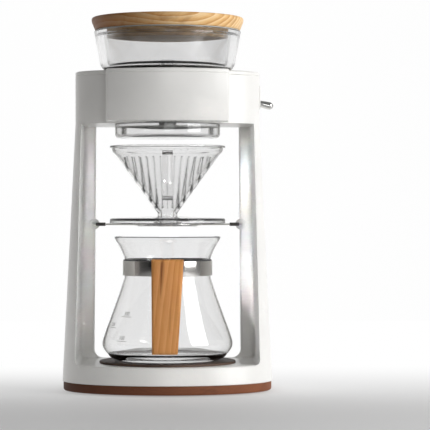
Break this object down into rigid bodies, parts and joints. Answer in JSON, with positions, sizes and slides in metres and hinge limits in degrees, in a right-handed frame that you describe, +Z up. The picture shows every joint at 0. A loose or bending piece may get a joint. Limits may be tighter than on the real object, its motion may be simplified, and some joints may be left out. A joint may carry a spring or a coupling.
{
  "type": "pour-over coffee station",
  "caption": "White D-shaped stand with a clear lidded water tank, lever tap, shower head, ribbed cone dripper on a wire rack and a glass carafe with a wooden handle.",
  "frame": {"origin": "centre of the stand's footprint on the table, under the carafe's axis", "axes": "+Z up, -Y towards the user, +X to the lever side"},
  "size_m": [0.2107, 0.153, 0.372],
  "materials": {
    "white_shell": "satin",
    "plinth_wood": "satin",
    "coaster": "satin",
    "rubber": "matte",
    "silicone": "matte",
    "steel": "satin",
    "inner_plastic": "matte",
    "chrome": "polished",
    "clear_plastic": "clear",
    "glass": "clear",
    "pale_wood": "oiled",
    "warm_wood": "oiled"
  },
  "bodies": {
    "stand": {"plinth_ring": "plinth_wood", "bottom_cover": "inner_plastic", "rubber_feet": "rubber", "base_screws": "steel", "base_deck": "white_shell", "coaster_disc": "coaster", "left_column": "white_shell", "right_column": "white_shell", "left_rack_boss": "white_shell", "right_rack_boss": "white_shell", "top_housing": "white_shell", "front_cover": "white_shell", "top_cap": "white_shell", "cap_posts": "white_shell", "cap_screws": "steel", "tank_gasket": "silicone", "valve_body": "inner_plastic", "valve_screws": "steel", "lever_pivot": "steel", "lever_bracket": "inner_plastic", "slot_plate": "white_shell", "shower_cover": "clear_plastic", "shower_tray": "clear_plastic", "shower_seal": "silicone", "shower_screws": "steel"},
    "tank": {"tank_outer": "clear_plastic", "tank_inner": "clear_plastic", "tank_outlet": "clear_plastic", "outlet_ring": "silicone", "outlet_strainer": "clear_plastic"},
    "lid": {"lid_top": "pale_wood", "lid_plug": "pale_wood", "lid_screws": "steel", "lid_seal": "silicone"},
    "tap_lever": {"lever": "chrome", "lever_crank": "inner_plastic", "crank_pin": "steel"},
    "tap_gate": {"valve_gate": "inner_plastic"},
    "rack": {"rack_ring": "chrome", "rack_ferrules": "chrome"},
    "dripper": {"dripper_cone": "clear_plastic", "dripper_flange": "clear_plastic", "dripper_handle": "clear_plastic"},
    "carafe": {"carafe_glass": "glass", "neck_band": "chrome", "neck_liner": "silicone", "handle_bracket": "steel", "handle_wood": "warm_wood", "handle_screws": "steel"}
  },
  "joints": [
    {"name": "tank_lift", "type": "slide", "parent": "stand", "child": "tank", "axis": [0, 0, 1], "range_m": [0, 0.05]},
    {"name": "lid_lift", "type": "slide", "parent": "tank", "child": "lid", "axis": [0, 0, 1], "range_m": [0, 0.04]},
    {"name": "lever_rock", "type": "hinge", "parent": "stand", "child": "tap_lever", "pos_m": [0.0655, 0, 0.293], "axis": [0, -1, 0], "range_deg": [0, 26]},
    {"name": "gate_slide", "type": "slide", "parent": "stand", "child": "tap_gate", "axis": [1, 0, 0], "range_m": [0, 0.0068]},
    {"name": "rack_out", "type": "slide", "parent": "stand", "child": "rack", "axis": [0, -1, 0], "range_m": [0, 0.15]},
    {"name": "dripper_lift", "type": "slide", "parent": "rack", "child": "dripper", "axis": [0, 0, 1], "range_m": [0, 0.0055]},
    {"name": "carafe_out", "type": "slide", "parent": "stand", "child": "carafe", "axis": [0, -1, 0], "range_m": [0, 0.16]}
  ],
  "couplings": [
    {"joint": "gate_slide", "follows": "lever_rock", "m_per_rad": 0.014872}
  ]
}
